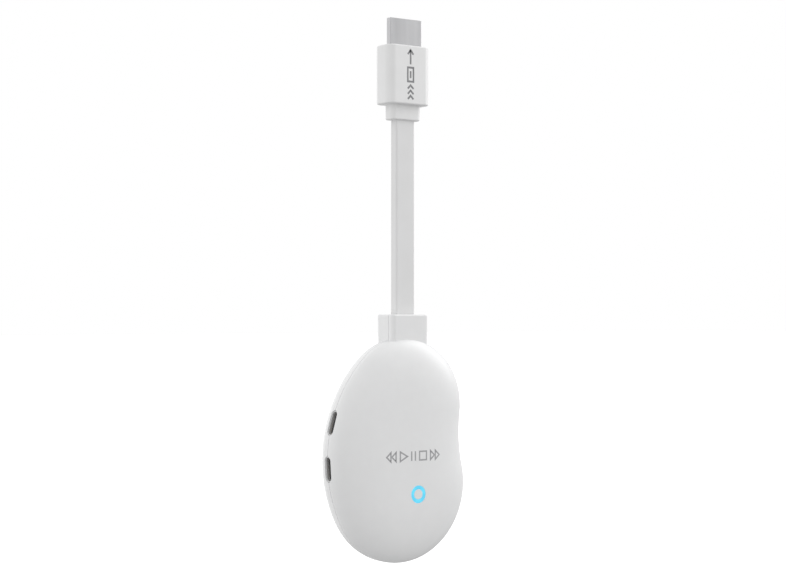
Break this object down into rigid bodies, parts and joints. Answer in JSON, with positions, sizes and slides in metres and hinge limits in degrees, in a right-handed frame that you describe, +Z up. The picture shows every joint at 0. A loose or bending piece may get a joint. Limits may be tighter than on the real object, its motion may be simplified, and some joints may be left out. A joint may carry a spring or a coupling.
{
  "type": "streaming media player",
  "caption": "Pebble-shaped streaming media player with a neck, light ring and side sockets, hanging from a video plug on a short flat lead.",
  "frame": {"origin": "middle of the plug housing's shoulder, where the plug's metal shell comes out and which stops against the screen's socket", "axes": "+Z up, along the plug's insertion direction; -Y is the front, with the light ring; -X is the side with the two sockets; the player hangs below the plug"},
  "size_m": [0.0579, 0.015, 0.1947],
  "materials": {
    "case_white": "satin",
    "plug_white": "satin",
    "lead_white": "matte",
    "plug_metal": "satin nickel plate",
    "socket_metal": "satin",
    "socket_black": "matte",
    "contact_gold": "polished gold plate",
    "light_cyan": "diffusing",
    "foam_black": "open-cell foam",
    "led_lens": "clear",
    "board_green": "solder mask",
    "shield_tin": "tinned",
    "chip_black": "moulded",
    "pad_grey": "matte",
    "spreader_alu": "mill",
    "ferrite_grey": "matte",
    "capacitor_tan": "matte",
    "crystal_can": "satin",
    "screw_steel": "satin",
    "wire_core": "matte",
    "connector_ivory": "moulded",
    "grommet_white": "matte"
  },
  "bodies": {
    "plug": {"cable_jacket": "lead_white", "plug_collar": "plug_white", "plug_housing": "plug_white", "plug_inner_block": "connector_ivory", "plug_shell": "plug_metal", "plug_insulator": "socket_black", "plug_contacts": "contact_gold"},
    "player": {"front_cover": "case_white", "rear_cover": "case_white", "light_ring": "light_cyan", "light_ring_cap": "case_white", "light_gasket": "foam_black", "status_leds": "led_lens", "main_board": "board_green", "shield_frame": "shield_tin", "shield_lid": "shield_tin", "processor": "chip_black", "processor_pad": "pad_grey", "spreader_pad": "pad_grey", "heat_spreader": "spreader_alu", "memory_chip": "chip_black", "storage_chip": "chip_black", "clock_crystal": "crystal_can", "wifi_module": "shield_tin", "power_controller": "chip_black", "power_inductors": "ferrite_grey", "filter_capacitors": "capacitor_tan", "board_antenna": "shield_tin", "board_screws": "screw_steel", "cable_grommet": "grommet_white", "cable_tail": "lead_white", "cable_clamp": "shield_tin", "clamp_screws": "screw_steel", "cable_wires": "wire_core", "cable_connector": "connector_ivory", "upper_socket_shell": "socket_metal", "upper_socket_tongue": "socket_black", "upper_socket_contacts": "contact_gold", "lower_socket_shell": "socket_metal", "lower_socket_tongue": "socket_black", "lower_socket_contacts": "contact_gold"}
  },
  "joints": [
    {"name": "cable_bend", "type": "hinge", "parent": "plug", "child": "player", "pos_m": [0, 0, -0.06135], "axis": [1, 0, 0], "range_deg": [-90, 90], "stiffness_Nm_per_rad": 0.03, "deforming": ["cable_jacket"]}
  ]
}
